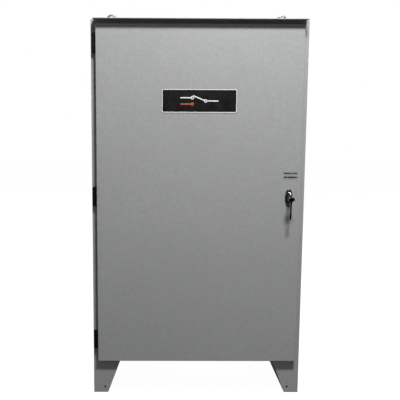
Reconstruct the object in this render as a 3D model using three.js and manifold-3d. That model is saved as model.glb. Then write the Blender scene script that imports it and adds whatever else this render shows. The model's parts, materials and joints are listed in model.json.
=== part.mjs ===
// Floor-standing transfer switch cabinet: sheet-steel case, hinged door with a three-point latch,
// and inside it a three-pole double-throw blade switch thrown by hand or by a pair of coils.
// Millimetres, +Z up, the front faces -Y. The origin is under the middle of the whole object.
import * as THREE from 'three';
import { mergeVertices } from 'three/addons/utils/BufferGeometryUtils.js';
import Module from 'manifold-3d';

const wasm = await Module();
wasm.setup();

// ---------------------------------------------------------------- driving dimensions
const WIDTH = 914;            // case, side to side
const DEPTH = 508;            // case, front flange to back wall
const HEIGHT = 1626;          // floor to roof
const STAND = 152;            // height of the floor stands
const SHEET = 2.7;            // sheet steel
const GAP = 0.3;              // between pieces that touch
const HALF = WIDTH / 2;

const DOOR_HALF = 435;        // half the door's width
const DOOR_LOW = 156;
const DOOR_HIGH = 1606;
const DOOR_FACE = -30;        // the door stands this far in front of the case's flange (y = 0)
const DOOR_BACK = -3;
const OPEN_HALF = 418;        // opening behind the door
const OPEN_LOW = 173;
const OPEN_HIGH = 1589;
const COLLAR = 16;            // the opening's edge is turned forward by this much

const HINGE_X = -446;         // hinge axis, in front of the narrow strip beside the door
const HINGE_Y = -15;
const HINGE_HEIGHT = 78;
const HINGE_CENTRES = [1526, 884, 250];

const HANDLE_X = 384;         // handle axis
const HANDLE_Z = 905;
const HANDLE_REACH = 104;     // from the case's flange to the front of the handle
const GRIP_Z = 884;           // knuckle at the top of the grip, level with the middle of the escutcheon
const LOCK_Z = 865;           // key lock below the handle axis
const CRANK_R = 24;           // latch rod pins from the handle axis
const ROLLER_R = 9;
const ROLLER_BITE = 8;        // roller axles beyond the opening's edge when latched
const ROD_Y = SHEET + 0.4 + ROLLER_R;   // middle of the latch rods and rollers, behind the flange
const GUIDE_Z = { upper: 1530, lower: 250 };

const PANEL_FRONT = 474.7;
const PANEL_THICK = 3;
const SHAFT_Y = 365;          // axis of the blade switch
const SHAFT_Z = 980;
const SHAFT_R = 14;
const POLE_PITCH = 110;
const THROW = Math.PI / 2;    // from one set of jaws to the other
const BLADE_REACH = 112;
const BLADE_THICK = 6;
const LEAF = 4;               // jaw leaf thickness
const THROW_CRANK_R = 40;
const PLUNGER_X = 234;
const PLUNGER_Y = -34;        // plunger axis, from the switch's axis

// ---------------------------------------------------------------- finishes
const FINISHES = {
  greyPaint: { color: 0xa3a5a4, roughness: 0.6, metalness: 0.0 },
  whitePaint: { color: 0xdedfdb, roughness: 0.55, metalness: 0.0 },
  chrome: { color: 0xd6d8da, roughness: 0.15, metalness: 1.0 },
  zinc: { color: 0xb4b6b4, roughness: 0.42, metalness: 0.9 },
  blackSteel: { color: 0x1c1d1e, roughness: 0.55, metalness: 0.3 },
  blackPlate: { color: 0x151516, roughness: 0.35, metalness: 0.0 },
  labelGrey: { color: 0x9b9c99, roughness: 0.6, metalness: 0.0 },
  rubber: { color: 0x202122, roughness: 0.85, metalness: 0.0 },
  moulding: { color: 0x7c2f22, roughness: 0.5, metalness: 0.0 },
  blackMoulding: { color: 0x222326, roughness: 0.5, metalness: 0.0 },
  copper: { color: 0xb86b42, roughness: 0.35, metalness: 1.0 },
  winding: { color: 0xc9a13a, roughness: 0.5, metalness: 0.0 },
};

// ---------------------------------------------------------------- geometry helpers
function block([x0, x1], [y0, y1], [z0, z1]) {
  const geometry = new THREE.BoxGeometry(x1 - x0, y1 - y0, z1 - z0);
  return geometry.translate((x0 + x1) / 2, (y0 + y1) / 2, (z0 + z1) / 2);
}

// A round bar along one axis; centre gives the two other coordinates in x, y, z order.
function bar(axis, radius, [from, to], [a, b], sides = 16) {
  const geometry = new THREE.CylinderGeometry(radius, radius, to - from, sides);
  const middle = (from + to) / 2;
  if (axis === 'x') return geometry.rotateZ(Math.PI / 2).translate(middle, a, b);
  if (axis === 'y') return geometry.translate(a, middle, b);
  return geometry.rotateX(Math.PI / 2).translate(a, b, middle);
}

function shapeOf(points) {
  return new THREE.Shape(points.map(([u, v]) => new THREE.Vector2(u, v)));
}

// An outline in two axes, extruded along the third: x takes (y, z), y takes (x, z), z takes (x, y).
function slab(axis, points, [from, to]) {
  const geometry = new THREE.ExtrudeGeometry(shapeOf(points), { depth: to - from, bevelEnabled: false });
  const turn = new THREE.Matrix4();
  const [X, Y, Z] = [new THREE.Vector3(1, 0, 0), new THREE.Vector3(0, 1, 0), new THREE.Vector3(0, 0, 1)];
  if (axis === 'x') return geometry.applyMatrix4(turn.makeBasis(Y, Z, X)).translate(from, 0, 0);
  if (axis === 'y') return geometry.applyMatrix4(turn.makeBasis(X, Z, Y.negate())).translate(0, to, 0);
  return geometry.translate(0, 0, from);
}

// The outline with each corner rounded to its radius.
function rounded(points, radius, steps = 4) {
  const out = [];
  points.forEach((corner, i) => {
    const r = Array.isArray(radius) ? radius[i] : radius;
    const here = new THREE.Vector2(...corner);
    const before = new THREE.Vector2(...points[(i + points.length - 1) % points.length]);
    const after = new THREE.Vector2(...points[(i + 1) % points.length]);
    if (r === 0) {
      out.push(corner);
      return;
    }
    const toBefore = before.sub(here).normalize();
    const toAfter = after.sub(here).normalize();
    const half = toBefore.angleTo(toAfter) / 2;
    const reach = r / Math.tan(half);
    const start = here.clone().addScaledVector(toBefore, reach);
    const end = here.clone().addScaledVector(toAfter, reach);
    const curve = new THREE.QuadraticBezierCurve(start, here, end);
    curve.getPoints(steps).forEach((p) => out.push([p.x, p.y]));
  });
  return out;
}

function rectangle([u0, u1], [v0, v1]) {
  return [[u0, v0], [u1, v0], [u1, v1], [u0, v1]];
}

function ellipse([u, v], [ru, rv], sides) {
  const at = (i) => (2 * Math.PI * i) / sides;
  return Array.from({ length: sides }, (_, i) => [u + ru * Math.cos(at(i)), v + rv * Math.sin(at(i))]);
}

function toSolid(geometry) {
  const bare = geometry.clone();
  bare.deleteAttribute('normal');
  bare.deleteAttribute('uv');
  const merged = mergeVertices(bare, 1e-4);
  const mesh = { numProp: 3, vertProperties: merged.attributes.position.array, triVerts: merged.index.array };
  return new wasm.Manifold(new wasm.Mesh({ ...mesh, triVerts: Uint32Array.from(mesh.triVerts) }));
}

function toGeometry(solid) {
  const mesh = solid.getMesh();
  const geometry = new THREE.BufferGeometry();
  geometry.setAttribute('position', new THREE.BufferAttribute(Float32Array.from(mesh.vertProperties), 3));
  geometry.setIndex(new THREE.BufferAttribute(Uint32Array.from(mesh.triVerts), 1));
  geometry.computeVertexNormals();
  return geometry;
}

function join(...pieces) {
  return toGeometry(pieces.map(toSolid).reduce((all, next) => all.add(next)));
}

function carve(body, ...tools) {
  return toGeometry(tools.map(toSolid).reduce((left, tool) => left.subtract(tool), toSolid(body)));
}

function part(parent, name, geometry, finish) {
  const mesh = new THREE.Mesh(geometry, new THREE.MeshStandardMaterial(FINISHES[finish]));
  mesh.name = name;
  parent.add(mesh);
}

function groupAt(parent, x, y, z) {
  const group = new THREE.Group();
  group.position.set(x, y, z);
  parent.add(group);
  return group;
}

// ---------------------------------------------------------------- case
const EYE_X = 384;
const EYE_Y = 254;
const SHANK_R = 6;

// Floor, sides and roof, folded from one strip into a tube that is open at the front and back.
function enclosureWrapper() {
  const tube = block([-HALF, HALF], [SHEET + GAP, DEPTH], [STAND, HEIGHT]);
  const cavity = block([-HALF + SHEET, HALF - SHEET], [0, DEPTH + 1], [STAND + SHEET, HEIGHT - SHEET]);
  const eyeHoles = [-EYE_X, EYE_X].map(
    (x) => bar('z', SHANK_R + 0.5, [HEIGHT - 2 * SHEET, HEIGHT + 1], [x, EYE_Y], 12));
  return carve(tube, cavity, ...eyeHoles);
}

// Front frame, with the edge of its opening turned forward.
function enclosureFront() {
  const flange = block([-HALF, HALF], [0, SHEET], [STAND, HEIGHT]);
  const collar = block(
    [-OPEN_HALF - SHEET, OPEN_HALF + SHEET], [-COLLAR, SHEET / 2], [OPEN_LOW - SHEET, OPEN_HIGH + SHEET]);
  const opening = block([-OPEN_HALF, OPEN_HALF], [-COLLAR - 1, 2 * SHEET], [OPEN_LOW, OPEN_HIGH]);
  return carve(join(flange, collar), opening);
}

// Back sheet, set into the wrapper, with the welded studs that carry the mounting panel.
function enclosureBack() {
  const edge = SHEET + GAP;
  const sheet = block([-HALF + edge, HALF - edge], [DEPTH - SHEET, DEPTH], [STAND + edge, HEIGHT - edge]);
  const studs = [];
  for (const x of [-370, 370]) {
    for (const z of [250, 1530]) {
      studs.push(bar('y', 10, [PANEL_FRONT + PANEL_THICK + GAP, DEPTH - SHEET / 2], [x, z], 8));
    }
  }
  return join(sheet, ...studs);
}

// Sheet rain hood, a little wider than the door: a short flange on the case and a top that falls to the front.
function dripHood() {
  const reach = -66;
  const fall = 2;
  const half = DOOR_HALF + 9;
  const profile = [
    [-GAP, HEIGHT - 1],
    [reach, HEIGHT - 1 - fall],
    [reach, HEIGHT - 1 - fall - SHEET],
    [-GAP - SHEET, HEIGHT - 1 - SHEET],
    [-GAP - SHEET, DOOR_HIGH + 3],
    [-GAP, DOOR_HIGH + 3],
  ];
  return slab('x', profile, [-half, half]);
}

// A channel under one side of the case; side is -1 on the left and 1 on the right.
function floorStand(side) {
  const topWidth = 119;
  const footWidth = 63;
  const top = STAND - GAP;
  const flap = [[0, 0], [0, top], [topWidth, top], [footWidth, 0]];
  const place = ([u, z]) => [side * (HALF - u), z];
  const outline = rounded(flap, [0, 0, 0, 8]).map(place);
  const across = [side * (HALF - SHEET), side * (HALF - topWidth - 10)].sort((a, b) => a - b);
  const hollow = block(across, [SHEET, DEPTH - SHEET], [SHEET, top - SHEET]);
  const holes = [2, DEPTH - 2].map((y) => bar('y', 5, [y - 6, y + 6], [side * 407.5, 26], 16));
  const anchors = [90, DEPTH - 90].map((y) => bar('z', 7, [-1, 2 * SHEET], [side * (HALF - 29), y], 12));
  return carve(slab('y', outline, [0, DEPTH]), hollow, ...holes, ...anchors);
}

function liftingEye(x) {
  const ringR = 18.3;
  const wireR = 4.7;
  const rise = HEIGHT + 32;
  const ring = new THREE.TorusGeometry(ringR, wireR, 8, 20).rotateX(Math.PI / 2).translate(x, EYE_Y, rise);
  const collar = bar('z', 14, [HEIGHT + GAP, HEIGHT + 6], [x, EYE_Y], 16);
  const neck = bar('z', 8, [HEIGHT + 5, rise - ringR + 2], [x, EYE_Y], 12);
  const shank = bar('z', SHANK_R, [HEIGHT - 24, HEIGHT + 1], [x, EYE_Y], 12);
  return join(ring, collar, neck, shank);
}

function addCase(parent) {
  part(parent, 'enclosure_wrapper', enclosureWrapper(), 'greyPaint');
  part(parent, 'enclosure_front', enclosureFront(), 'greyPaint');
  part(parent, 'enclosure_back', enclosureBack(), 'greyPaint');
  part(parent, 'drip_hood', dripHood(), 'greyPaint');
  part(parent, 'left_floor_stand', floorStand(-1), 'greyPaint');
  part(parent, 'right_floor_stand', floorStand(1), 'greyPaint');
  part(parent, 'left_lifting_eye', liftingEye(-EYE_X), 'zinc');
  part(parent, 'right_lifting_eye', liftingEye(EYE_X), 'zinc');
}

// ---------------------------------------------------------------- door
function doorPanel() {
  const inner = DOOR_HALF - SHEET;
  const outer = block([-DOOR_HALF, DOOR_HALF], [DOOR_FACE, DOOR_BACK], [DOOR_LOW, DOOR_HIGH]);
  const hollow = block(
    [-inner, inner], [DOOR_FACE + SHEET, DOOR_BACK + 1], [DOOR_LOW + SHEET, DOOR_HIGH - SHEET]);
  const through = [DOOR_FACE - 1, DOOR_FACE + 2 * SHEET];
  const spindleHole = bar('y', 9, through, [HANDLE_X, HANDLE_Z], 16);
  const lockHole = bar('y', 7, through, [HANDLE_X, LOCK_Z], 16);
  return carve(outer, hollow, spindleHole, lockHole);
}

// Rubber strip that the collar's edge presses into.
function doorGasket() {
  const depth = [DOOR_FACE + SHEET + GAP, -COLLAR - GAP];
  const ring = (spread, y) => block(
    [-OPEN_HALF - spread, OPEN_HALF + spread], y, [OPEN_LOW - spread, OPEN_HIGH + spread]);
  return carve(ring(13, depth), ring(-5, [DOOR_FACE, 0]));
}

// Hat channel down the middle of the door's inside.
function doorStiffener() {
  const back = DOOR_FACE + SHEET + GAP;
  const crown = -12;
  const t = 2;
  const profile = [
    [-45, back], [-25 + t, back], [-25 + t, crown - t], [25 - t, crown - t], [25 - t, back], [45, back],
    [45, back + t], [25, back + t], [25, crown], [-25, crown], [-25, back + t], [-45, back + t],
  ];
  return slab('z', profile, [DOOR_LOW + 60, DOOR_HIGH - 60]);
}

function nameplate() {
  const outline = rounded(rectangle([-160, 157], [1241, 1340]), 9);
  return slab('y', outline, [DOOR_FACE - GAP - 1.6, DOOR_FACE - GAP]);
}

function latchLabel() {
  const outline = rounded(rectangle([356, 423], [962, 997]), 3);
  return slab('y', outline, [DOOR_FACE - GAP - 0.5, DOOR_FACE - GAP]);
}

function addDoor(parent) {
  part(parent, 'door_panel', doorPanel(), 'greyPaint');
  part(parent, 'door_gasket', doorGasket(), 'rubber');
  part(parent, 'door_stiffener', doorStiffener(), 'greyPaint');
  part(parent, 'door_nameplate', nameplate(), 'blackPlate');
  part(parent, 'latch_label', latchLabel(), 'labelGrey');
}

// ---------------------------------------------------------------- hinges
const KNUCKLE_R = 7;
const PIN_R = 3;

function knuckle([from, to]) {
  return bar('z', KNUCKLE_R, [from, to], [HINGE_X, HINGE_Y], 16);
}

// Three-knuckle hinge, its pin fixed in the case leaf's two outer knuckles.
function hinge(parent, name, centre) {
  const half = HINGE_HEIGHT / 2;
  const third = HINGE_HEIGHT / 3;
  const [low, high] = [centre - half, centre + half];
  const axis = [HINGE_X, HINGE_Y];
  const ends = [[low, low + third - GAP], [high - third + GAP, high]];
  const middle = [low + third, high - third];
  const plate = block([-HALF + 1, -DOOR_HALF - 3], [-GAP - 2.6, -GAP], [low, high]);
  const posts = ends.map((span) => block([HINGE_X - 3, HINGE_X + 3], [HINGE_Y, -GAP - 1], span));
  const pin = bar('z', PIN_R, [low - 3, high + 1], axis, 12);
  const head = bar('z', PIN_R + 2, [high - 1, high + 4], axis, 12);
  part(parent, `${name}_hinge_case_leaf`, join(plate, ...posts, ...ends.map(knuckle), pin, head), 'blackSteel');
  const leaf = block([-DOOR_HALF - GAP - 2.5, -DOOR_HALF - GAP], [DOOR_FACE + 2, DOOR_BACK - 2], [low, high]);
  const arm = block([HINGE_X, -DOOR_HALF - GAP - 1], [HINGE_Y - 3, HINGE_Y + 3], middle);
  const bore = bar('z', PIN_R + 0.4, [low - 1, high + 1], axis, 16);
  part(parent, `${name}_hinge_door_leaf`, carve(join(leaf, knuckle(middle), arm), bore), 'blackSteel');
}

// ---------------------------------------------------------------- handle and three-point latch
const CAM = [4, 9];           // the latch cam lies just behind the case's flange

function escutcheon() {
  const oval = slab('y', ellipse([HANDLE_X, GRIP_Z], [16.5, 39], 32), [DOOR_FACE - 7, DOOR_FACE - GAP]);
  const through = [DOOR_FACE - 8, DOOR_FACE];
  const spindleHole = bar('y', 8.6, through, [HANDLE_X, HANDLE_Z], 20);
  const lockHole = bar('y', 6.6, through, [HANDLE_X, LOCK_Z], 20);
  return carve(oval, spindleHole, lockHole);
}

// Round boss on the escutcheon, an arm that slopes out and down, a cross knuckle, and a thin blade as the grip.
function handleLever() {
  const front = -HANDLE_REACH;
  const [boss, knuckleZ, tip] = [HANDLE_Z, GRIP_Z, GRIP_Z - 89];
  const hub = bar('y', 12, [-51, DOOR_FACE - 7 - GAP], [HANDLE_X, boss], 24);
  const slope = [[-40, boss + 8], [-54, boss + 8], [front + 2, knuckleZ + 8], [front + 2, knuckleZ - 8],
    [front + 14, knuckleZ - 8], [-42, boss - 9]];
  const arm = slab('x', rounded(slope, [0, 5, 6, 4, 4, 0]), [HANDLE_X - 5, HANDLE_X + 5]);
  const cross = bar('x', 8.5, [HANDLE_X - 13.5, HANDLE_X + 13.5], [front + 8.5, knuckleZ], 20);
  const blade = [[front + 1, knuckleZ], [front + 13, tip], [front + 26, tip], [front + 21, knuckleZ]];
  const grip = slab('x', rounded(blade, [0, 6, 6, 0]), [HANDLE_X - 4, HANDLE_X + 4]);
  return join(hub, arm, cross, grip);
}

function latchCam() {
  const pins = [-CRANK_R, CRANK_R].map((z) => bar('y', 4, [CAM[0] + 1, ROD_Y + 3.5], [0, z], 12));
  const ends = [-CRANK_R, CRANK_R].map((z) => bar('y', 8, CAM, [0, z], 16));
  const plate = join(
    bar('y', 16, CAM, [0, 0], 20), block([-8, 8], CAM, [-CRANK_R, CRANK_R]),
    slab('y', rounded([[0, -11], [46, -11], [46, 11], [0, 11]], [0, 8, 8, 0]), CAM), ...ends, ...pins);
  return carve(plate, bar('y', 8.3, [0, 12], [0, 0], 16));
}

// A latch rod drawn upwards from its pin at the origin, with a fork and roller axle at the far end.
function latchRod(length) {
  const thick = [ROD_Y - 2, ROD_Y + 2];
  const fork = [ROD_Y - 5, ROD_Y + 5];
  const ear = (span) => block(span, fork, [length - 18, length + 5]);
  const rod = join(
    bar('y', 8, thick, [0, 0], 16), block([-8, 8], thick, [0, length - 14]),
    block([-11, 11], fork, [length - 18, length - 13]), ear([-11.3, -8.4]), ear([8.4, 11.3]),
    bar('x', PIN_R, [-10, 10], [ROD_Y, length], 12));
  return carve(rod, bar('y', 4.4, [ROD_Y - 5, ROD_Y + 5], [0, 0], 12));
}

function roller() {
  const [bore, half] = [PIN_R + 0.4, 8];
  const profile = [[bore, -half], [ROLLER_R, -half], [ROLLER_R, half], [bore, half], [bore, -half]];
  const points = profile.map(([r, y]) => new THREE.Vector2(r, y));
  return new THREE.LatheGeometry(points, 20).rotateZ(Math.PI / 2);
}

// Bracket on the door with a window that the rod slides and tilts in.
function rodGuide() {
  const root = DOOR_FACE + SHEET + GAP;
  const plate = slab('z', rounded(rectangle([-20, 20], [root, 20]), [0, 0, 4, 4]), [-1.5, 1.5]);
  const foot = block([-20, 20], [root, root + 2.5], [-1, 24]);
  const window = block([-15.8, 15.8], [ROD_Y - 3, ROD_Y + 3], [-3, 3]);
  return carve(join(plate, foot), window);
}

function addLatch(parent) {
  part(parent, 'handle_escutcheon', escutcheon(), 'chrome');
  part(parent, 'handle_lever', handleLever(), 'chrome');
  part(parent, 'handle_spindle', bar('y', 8, [DOOR_FACE - 7, CAM[1] + 2], [HANDLE_X, HANDLE_Z], 16), 'zinc');
  const lockSpan = [-42, -24];
  part(parent, 'lock_plug', bar('y', 6.2, lockSpan, [HANDLE_X, LOCK_Z], 20), 'chrome');
  const sleeve = bar('y', 15, [DOOR_FACE + SHEET + GAP, CAM[0] - 0.6], [HANDLE_X, HANDLE_Z], 20);
  const sleeveBore = bar('y', 8.4, [DOOR_FACE, CAM[1]], [HANDLE_X, HANDLE_Z], 20);
  part(parent, 'spindle_bushing', carve(sleeve, sleeveBore), 'zinc');
  part(groupAt(parent, HANDLE_X, 0, HANDLE_Z), 'latch_cam', latchCam(), 'zinc');
  for (const [name, side] of [['upper', 1], ['lower', -1]]) {
    const turn = side === 1 ? 0 : Math.PI;
    const pinZ = HANDLE_Z + side * CRANK_R;
    const length = Math.abs((side === 1 ? OPEN_HIGH : OPEN_LOW) + side * ROLLER_BITE - pinZ);
    const pin = groupAt(parent, HANDLE_X, 0, pinZ);
    part(pin, `${name}_latch_rod`, latchRod(length).rotateY(turn), 'zinc');
    const axle = groupAt(pin, 0, ROD_Y, side * length);
    part(axle, `${name}_rod_roller`, roller(), 'blackMoulding');
    const guide = groupAt(parent, HANDLE_X, 0, GUIDE_Z[name]);
    part(guide, `${name}_rod_guide`, rodGuide().rotateY(turn), 'zinc');
  }
}

// ---------------------------------------------------------------- blade switch, about its own axis
const BASE_FRONT = 95;        // insulating base, behind the axis
const PAD = [BASE_FRONT - 8 - GAP, BASE_FRONT - GAP];
const LEAVES = [-1, 1].map((s) => {
  const inner = BLADE_THICK / 2 + GAP;
  return [s * inner, s * (inner + LEAF)].sort((a, b) => a - b);
});

function switchBase() {
  const back = PANEL_FRONT - GAP - SHAFT_Y;
  const plate = block([-250, 275], [BASE_FRONT, back], [-230, 230]);
  const corners = [[-235, -215], [-235, 215], [260, -215], [260, 215]];
  return carve(plate, ...corners.map((at) => bar('y', 5, [BASE_FRONT - 1, back + 1], at, 12)));
}

function sidePlate(side) {
  const outline = rounded(
    [[PAD[1], -75], [PAD[1], 75], [10, 75], [-26, 40], [-26, -40], [10, -75]], [0, 0, 12, 14, 14, 12]);
  const span = (from, to) => [side * from, side * to].sort((a, b) => a - b);
  const foot = block(span(201, 228), [PAD[1] - LEAF, PAD[1]], [-75, 75]);
  return carve(join(slab('x', outline, span(200, 204)), foot), bar('x', SHAFT_R + 0.5, span(190, 210), [0, 0], 24));
}

// Blade from a ring round the shaft, at rest in the upper jaws.
function contactBlade() {
  const thick = [-BLADE_THICK / 2, BLADE_THICK / 2];
  const arm = slab('x', rounded(rectangle([-BLADE_REACH, 0], [-12, 12]), [5, 0, 0, 5]), thick);
  const blade = join(bar('x', 28, thick, [0, 0], 24), arm);
  return carve(blade, bar('x', SHAFT_R + 0.4, [-10, 10], [0, 0], 24)).rotateX(-THROW / 2);
}

// Fixed terminal: two jaw leaves and a tongue for the cable lug; side is 1 above and -1 below the axis.
function sourceTerminal(side) {
  const place = ([y, z]) => [y, side * z];
  const leaf = rounded(
    [[PAD[1], 56], [-68, 56], [-92, 70], [-92, 92], [-82, 102], [PAD[1], 102]], [0, 4, 4, 4, 4, 0]).map(place);
  const tongue = block([-18, 18], PAD, side === 1 ? [56, 205] : [-205, -56]);
  return join(tongue, ...LEAVES.map((span) => slab('x', leaf, span)));
}

// Load terminal: two leaves that hug the blade's ring, and a tongue to one side.
function loadTerminal() {
  const leaf = rounded(rectangle([-26, PAD[1]], [-26, 26]), [10, 0, 0, 10]);
  const tongue = block([-7, 52], PAD, [-26, 26]);
  const body = join(tongue, ...LEAVES.map((span) => slab('x', leaf, span)));
  return carve(body, bar('x', SHAFT_R + 1, [-10, 10], [0, 0], 24));
}

function throwLever() {
  const span = [-222, -212];
  const arm = slab('x', rounded(rectangle([-150, 0], [-11, 11]), [6, 0, 0, 6]), span);
  const tang = bar('y', 6, [-225, -140], [-217, 0], 12);
  const lever = join(bar('x', 26, span, [0, 0], 24), arm, tang);
  return carve(lever, bar('x', SHAFT_R + 0.4, [-230, -200], [0, 0], 24)).rotateX(-THROW / 2);
}

function throwGrip() {
  const profile = [[0, 76], [6.4, 76], [6.4, 0], [12, 0], [13, 4], [14, 40], [13, 88], [10, 96], [0, 98]];
  const points = profile.map(([r, y]) => new THREE.Vector2(r, y));
  return new THREE.LatheGeometry(points, 20).rotateX(Math.PI).translate(-217, -151, 0).rotateX(-THROW / 2);
}

function throwCrank() {
  const span = [210, 220];
  const arm = slab('x', rounded(rectangle([-THROW_CRANK_R - 9, 0], [-9, 9]), [7, 0, 0, 7]), span);
  const pin = bar('x', 5, [215, PLUNGER_X + 12], [-THROW_CRANK_R, 0], 12);
  const crank = join(bar('x', 24, span, [0, 0], 24), arm, pin);
  return carve(crank, bar('x', SHAFT_R + 0.4, [200, 225], [0, 0], 24)).rotateX(-THROW / 2);
}

// Plunger of both coils, with a slotted yoke round the crank's pin.
function plunger() {
  const level = THROW_CRANK_R * Math.sin(THROW / 2);
  const yoke = block([PLUNGER_X - 10, PLUNGER_X + 10], [-54, -15], [level - 18, level + 18]);
  const slot = block([PLUNGER_X - 20, PLUNGER_X + 20], [-48, -20], [level - 6.9, level + 6.9]);
  const upper = bar('z', 8, [level + 16, 190], [PLUNGER_X, PLUNGER_Y], 16);
  const lower = bar('z', 8, [-128, level - 16], [PLUNGER_X, PLUNGER_Y], 16);
  return carve(join(yoke, upper, lower), slot);
}

const COIL_SPAN = [104, 206];

function upDown(side, [low, high]) {
  return side === 1 ? [low, high] : [-high, -low];
}

function coilBracket(side) {
  const across = [206, 262];
  const [low, high] = COIL_SPAN;
  const depth = [PLUNGER_Y - 32, PAD[1]];
  const body = join(
    block(across, [PAD[1] - LEAF, PAD[1]], upDown(side, [low - LEAF, high + LEAF])),
    block(across, depth, upDown(side, [low - LEAF, low])),
    block(across, depth, upDown(side, [high, high + LEAF])));
  return carve(body, bar('z', 9.5, upDown(side, [low - 10, high + 10]), [PLUNGER_X, PLUNGER_Y], 16));
}

function coil(side) {
  const span = upDown(side, [COIL_SPAN[0] + GAP, COIL_SPAN[1] - GAP]);
  const body = bar('z', 26, span, [PLUNGER_X, PLUNGER_Y], 28);
  return carve(body, bar('z', 8.8, [span[0] - 1, span[1] + 1], [PLUNGER_X, PLUNGER_Y], 16));
}

function addSwitch(parent) {
  const axis = groupAt(parent, 0, SHAFT_Y, SHAFT_Z);
  part(axis, 'switch_base', switchBase(), 'moulding');
  part(axis, 'left_side_plate', sidePlate(-1), 'zinc');
  part(axis, 'right_side_plate', sidePlate(1), 'zinc');
  part(axis, 'contact_crossbar', bar('x', SHAFT_R, [-224, 221], [0, 0], 24), 'blackMoulding');
  for (const number of [1, 2, 3]) {
    const pole = groupAt(axis, (number - 2) * POLE_PITCH, 0, 0);
    part(pole, `contact_blade_${number}`, contactBlade(), 'copper');
    part(pole, `utility_terminal_${number}`, sourceTerminal(1), 'copper');
    part(pole, `generator_terminal_${number}`, sourceTerminal(-1), 'copper');
    part(pole, `load_terminal_${number}`, loadTerminal(), 'copper');
  }
  part(axis, 'throw_lever', throwLever(), 'zinc');
  part(axis, 'throw_grip', throwGrip(), 'rubber');
  part(axis, 'throw_crank', throwCrank(), 'zinc');
  part(axis, 'coil_plunger', plunger(), 'zinc');
  for (const [name, side] of [['utility', 1], ['generator', -1]]) {
    part(axis, `${name}_coil_bracket`, coilBracket(side), 'zinc');
    part(axis, `${name}_coil`, coil(side), 'winding');
  }
}

// ---------------------------------------------------------------- mounting panel, bars and control terminals
function neutralBar() {
  const back = PANEL_FRONT - GAP;
  const posts = [110, 360].map((x) => bar('y', 10, [445, back], [x, 1400], 16));
  return join(block([90, 380], [438, 450], [1385, 1415]), ...posts);
}

function terminalStrip() {
  const back = PANEL_FRONT - GAP;
  const [left, right, count] = [-380, -140, 12];
  const ribs = [];
  for (let i = 0; i <= count; i += 1) {
    const x = left + ((right - left - 3) * i) / count;
    ribs.push(block([x, x + 3], [432, back - 1], [1378, 1422]));
  }
  return join(block([left, right], [452, back], [1375, 1425]), ...ribs);
}

function addPanel(parent) {
  const panel = block([-400, 400], [PANEL_FRONT, PANEL_FRONT + PANEL_THICK], [215, 1565]);
  part(parent, 'mounting_panel', panel, 'whitePaint');
  part(parent, 'neutral_bar', neutralBar(), 'copper');
  part(parent, 'ground_bar', block([-160, 160], [462, PANEL_FRONT - GAP], [290, 318]), 'copper');
  part(parent, 'terminal_strip', terminalStrip(), 'blackMoulding');
}

// ---------------------------------------------------------------- the whole object
const cabinet = new THREE.Group();
cabinet.position.y = -(DEPTH - HANDLE_REACH) / 2;
addCase(cabinet);
addDoor(cabinet);
['upper', 'middle', 'lower'].forEach((name, i) => hinge(cabinet, name, HINGE_CENTRES[i]));
addLatch(cabinet);
addPanel(cabinet);
addSwitch(cabinet);

const transferSwitch = new THREE.Group();
transferSwitch.add(cabinet);

export default transferSwitch;
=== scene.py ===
"""Looks of the floor-standing transfer switch cabinet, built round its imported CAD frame. Metres, +Z up."""

import json
import math
import random

import bmesh
import bpy
from mathutils import Matrix, Vector


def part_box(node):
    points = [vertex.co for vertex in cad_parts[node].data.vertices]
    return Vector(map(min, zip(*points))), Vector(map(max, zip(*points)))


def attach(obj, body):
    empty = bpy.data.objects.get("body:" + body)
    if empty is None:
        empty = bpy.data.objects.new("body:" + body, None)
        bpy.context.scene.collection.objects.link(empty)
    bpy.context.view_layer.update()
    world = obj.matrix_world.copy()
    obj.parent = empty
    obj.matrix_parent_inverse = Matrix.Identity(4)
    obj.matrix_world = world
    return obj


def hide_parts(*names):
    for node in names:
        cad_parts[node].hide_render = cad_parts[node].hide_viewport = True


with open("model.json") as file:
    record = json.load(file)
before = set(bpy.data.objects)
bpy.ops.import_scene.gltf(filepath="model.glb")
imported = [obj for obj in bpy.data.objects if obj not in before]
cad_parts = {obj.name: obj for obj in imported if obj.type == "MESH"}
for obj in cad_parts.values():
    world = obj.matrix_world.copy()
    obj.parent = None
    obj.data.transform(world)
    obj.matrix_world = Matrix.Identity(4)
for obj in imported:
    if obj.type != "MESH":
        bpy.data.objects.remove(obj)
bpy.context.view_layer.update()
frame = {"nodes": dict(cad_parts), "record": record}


def centre_of(node):
    low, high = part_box(node)
    return (low + high) / 2


def midway(node, axis):
    low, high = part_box(node)
    return (low[axis] + high[axis]) / 2


MM = 0.001
X, Z = 0, 2
DOOR_FACE_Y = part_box("door_panel")[0].y
PANEL_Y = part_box("mounting_panel")[0].y
BASE_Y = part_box("switch_base")[0].y
HANDLE = centre_of("handle_spindle")
LOCK = centre_of("lock_plug")
GRIP_Z = midway("handle_escutcheon", Z)
SHAFT = centre_of("contact_crossbar")
POLES = [midway(f"contact_blade_{n}", X) for n in (1, 2, 3)]
STUD_PLACES = [(x, z) for x in (-0.37, 0.37) for z in (0.25, 1.53)]


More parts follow.
